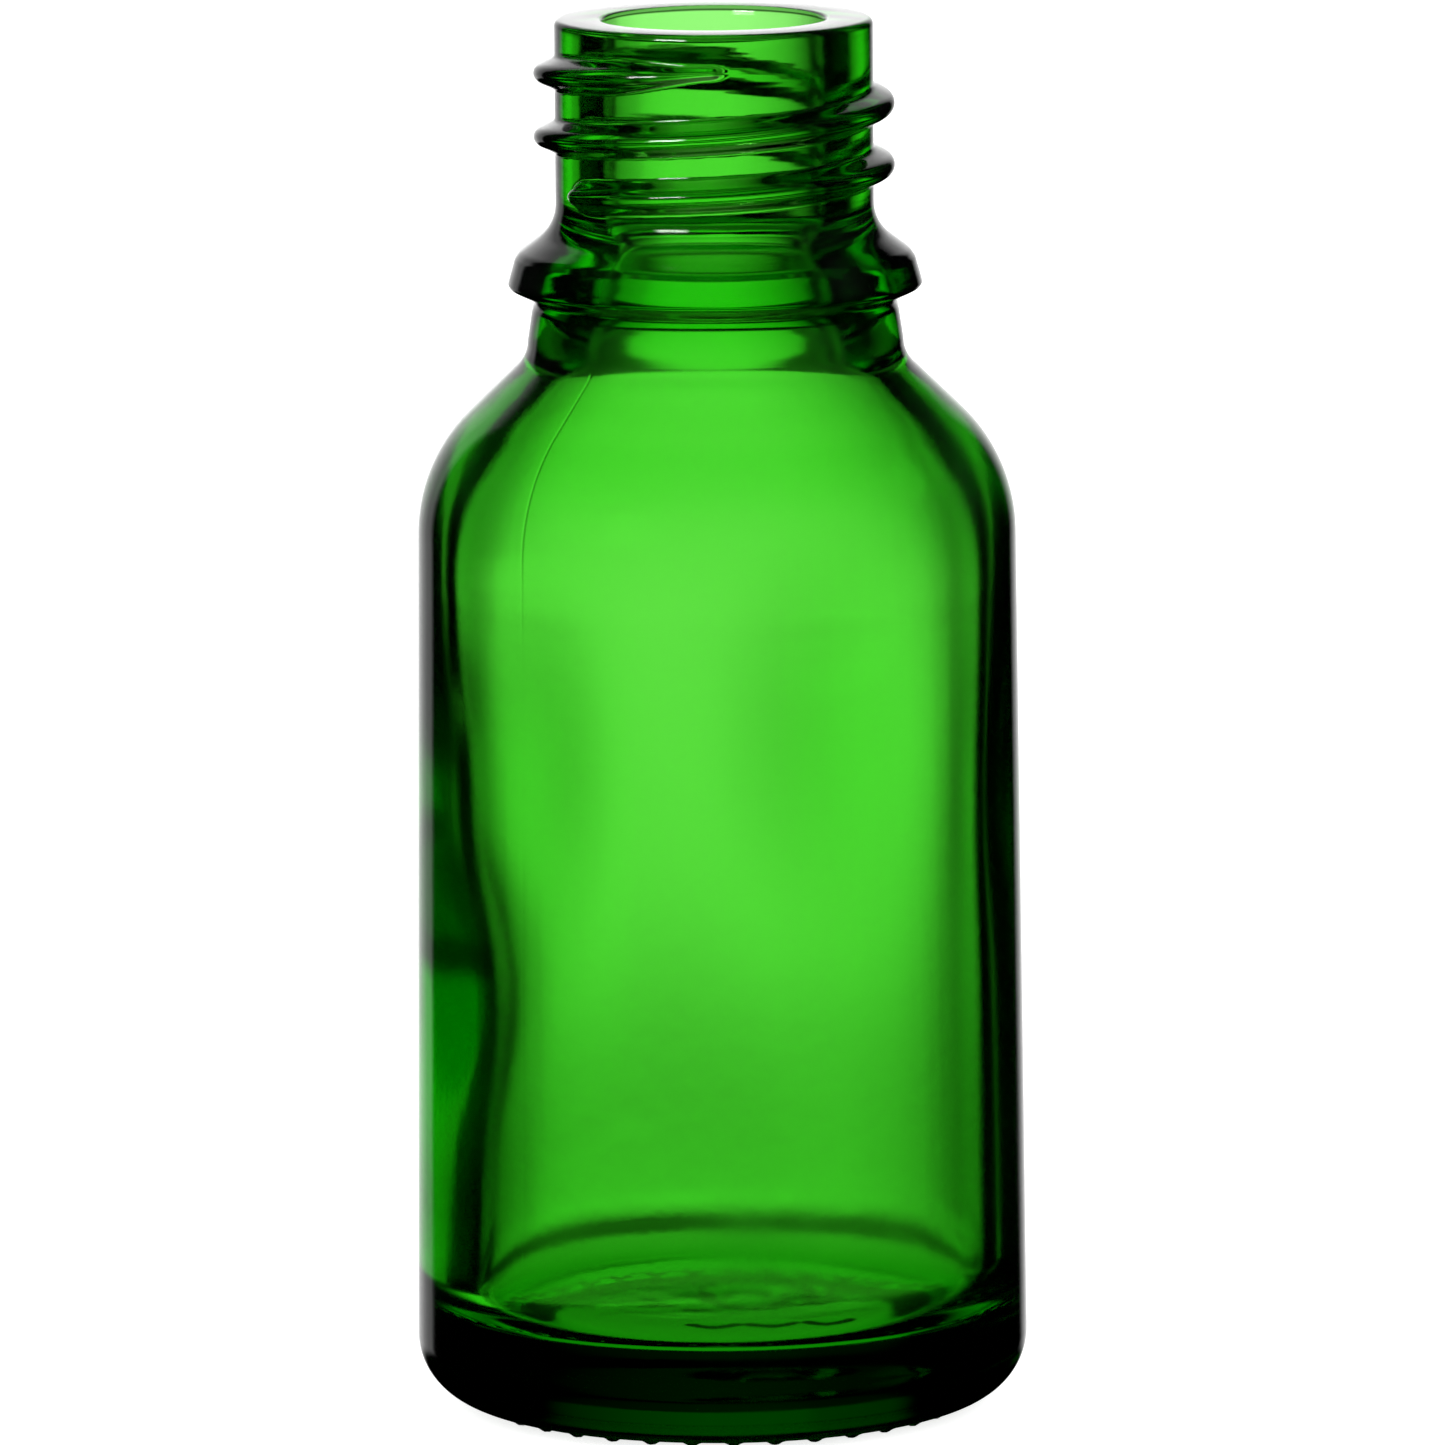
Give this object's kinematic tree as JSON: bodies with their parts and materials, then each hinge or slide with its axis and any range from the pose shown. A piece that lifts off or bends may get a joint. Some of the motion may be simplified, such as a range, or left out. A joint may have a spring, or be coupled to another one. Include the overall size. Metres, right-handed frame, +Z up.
{
  "type": "glass bottle",
  "caption": "Small round green glass oil bottle with a sloping shoulder, a bead and a screw-thread neck, open and empty.",
  "frame": {"origin": "on the axis, in the plane that the foot rests on", "axes": "+Z up along the bottle's axis and out of the mouth, -Y towards the front as pictured"},
  "size_m": [0.029, 0.029, 0.066],
  "materials": {
    "green_glass": "smooth, fire-polished, tinted through"
  },
  "bodies": {
    "root": {"glass_bottle": "green_glass"}
  },
  "joints": []
}
